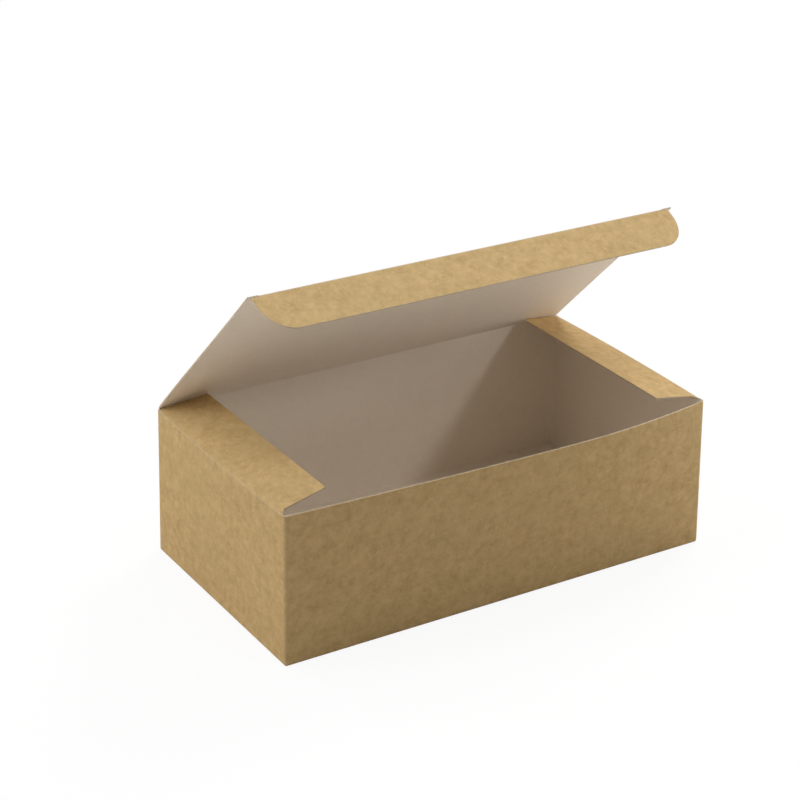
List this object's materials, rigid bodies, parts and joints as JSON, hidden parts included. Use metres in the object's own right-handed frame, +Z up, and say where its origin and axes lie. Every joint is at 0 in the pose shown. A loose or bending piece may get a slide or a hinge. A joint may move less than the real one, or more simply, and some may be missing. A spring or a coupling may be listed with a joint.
{
  "type": "takeaway box",
  "caption": "Oblong folded carton for takeaway food, with a hinged lid, a tuck flap held by slits, dust flaps at the ends and a locking bottom.",
  "frame": {"origin": "middle of the underside, on the plane that the box stands on", "axes": "+X along the box toward the right-hand end, +Y toward the wall that carries the lid, +Z up"},
  "size_m": [0.1508, 0.0855, 0.1061],
  "materials": {
    "kraft_board": "uncoated brown kraft face, matt white back"
  },
  "bodies": {
    "box": {"box_body": "kraft_board"},
    "lid": {"lid": "kraft_board"},
    "tuck": {"tuck_flap": "kraft_board"}
  },
  "joints": [
    {"name": "lid_crease", "type": "hinge", "parent": "box", "child": "lid", "pos_m": [0, 0.03977, 0.04977], "axis": [-1, 0, 0], "range_deg": [-45.1, 134.9]},
    {"name": "tuck_crease", "type": "hinge", "parent": "lid", "child": "tuck", "pos_m": [0, -0.01555, 0.10529], "axis": [1, 0, 0], "range_deg": [-70, 23.4]}
  ],
  "couplings": [
    {"joint": "tuck_crease", "follows": "lid_crease", "ratio": -0.51885}
  ]
}
